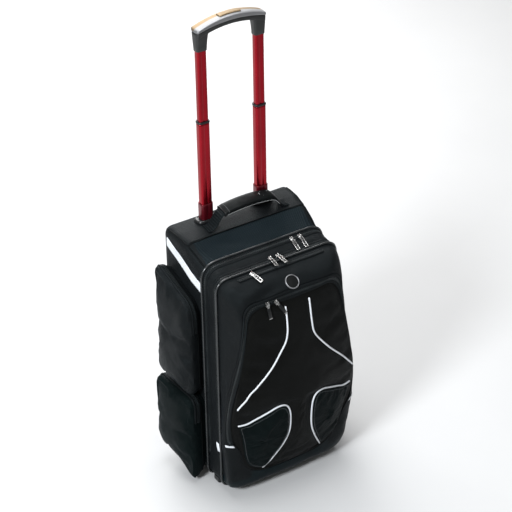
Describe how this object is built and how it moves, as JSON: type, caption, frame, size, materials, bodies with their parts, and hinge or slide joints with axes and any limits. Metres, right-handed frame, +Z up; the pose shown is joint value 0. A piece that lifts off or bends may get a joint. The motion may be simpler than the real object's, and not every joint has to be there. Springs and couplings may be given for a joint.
{
  "type": "pilot flight bag",
  "caption": "Upright wheeled flight bag: padded fabric body with front and side pockets, zips, a carry handle and a telescopic pull handle, for taking flight gear along.",
  "frame": {"origin": "on the floor under the middle of the whole bag, handle out", "axes": "+Z up, front pocket towards -Y, tubes and wheels towards +Y, X across the bag"},
  "size_m": [0.386, 0.288, 0.9986],
  "materials": {
    "nylon": "matte woven nylon",
    "vinyl": "satin coated vinyl",
    "zip": "matte tape and webbing",
    "white": "reflective white cloth",
    "silver": "satin silver",
    "red": "red anodised",
    "plastic": "satin moulded",
    "champagne": "satin champagne",
    "rubber": "matte"
  },
  "bodies": {
    "bag": {"main_shell": "nylon", "gusset": "nylon", "zip_main": "zip", "zip_front": "zip", "piping_rear": "vinyl", "piping_front": "vinyl", "front_pocket": "nylon", "front_panel": "nylon", "bottom_rand": "vinyl", "zip_pocket": "zip", "zip_slip": "zip", "corner_pocket_left": "nylon", "trim_upper_left": "white", "trim_lower_left": "white", "corner_pocket_right": "nylon", "trim_upper_right": "white", "trim_lower_right": "white", "upper_pocket_left": "nylon", "zip_upper_left": "zip", "lower_pocket_left": "nylon", "zip_lower_left": "zip", "band_left": "white", "upper_pocket_right": "nylon", "zip_upper_right": "zip", "lower_pocket_right": "nylon", "zip_lower_right": "zip", "band_right": "white", "zip_tab_gusset_left": "white", "zip_tab_pocket_left": "white", "zip_tab_gusset_right": "white", "zip_tab_pocket_right": "white", "badge": "silver", "pull_main_1": "silver", "pull_main_2": "silver", "pull_front_1": "silver", "pull_front_2": "silver", "pull_slip": "silver", "pull_pocket_1": "silver", "pull_pocket_2": "silver", "carry_strap": "zip", "carry_wrap": "vinyl", "outer_tube_left": "plastic", "bezel_left": "plastic", "outer_tube_right": "plastic", "bezel_right": "plastic", "wheel_housing_left": "plastic", "foot_left": "plastic", "wheel_housing_right": "plastic", "foot_right": "plastic"},
    "middle_stage": {"middle_tube_left": "red", "collar_left": "plastic", "middle_tube_right": "red", "collar_right": "plastic"},
    "upper_stage": {"inner_tube_left": "red", "inner_tube_right": "red", "grip_body": "plastic", "grip_cover": "silver"},
    "grip_button": {"grip_button": "champagne"},
    "wheel_left": {"wheel_left": "rubber"},
    "wheel_right": {"wheel_right": "rubber"}
  },
  "joints": [
    {"name": "handle_lower_slide", "type": "slide", "parent": "bag", "child": "middle_stage", "axis": [0, 0, 1], "range_m": [-0.174, 0]},
    {"name": "handle_upper_slide", "type": "slide", "parent": "middle_stage", "child": "upper_stage", "axis": [0, 0, 1], "range_m": [-0.149, 0]},
    {"name": "button_press", "type": "slide", "parent": "upper_stage", "child": "grip_button", "axis": [0, 0, 1], "range_m": [-0.003, 0], "stiffness_N_per_m": 600, "springref_m": 0.001},
    {"name": "wheel_left_spin", "type": "hinge", "parent": "bag", "child": "wheel_left", "pos_m": [-0.118, 0.11404, 0.03], "axis": [1, 0, 0], "continuous": true},
    {"name": "wheel_right_spin", "type": "hinge", "parent": "bag", "child": "wheel_right", "pos_m": [0.118, 0.11404, 0.03], "axis": [1, 0, 0], "continuous": true}
  ]
}
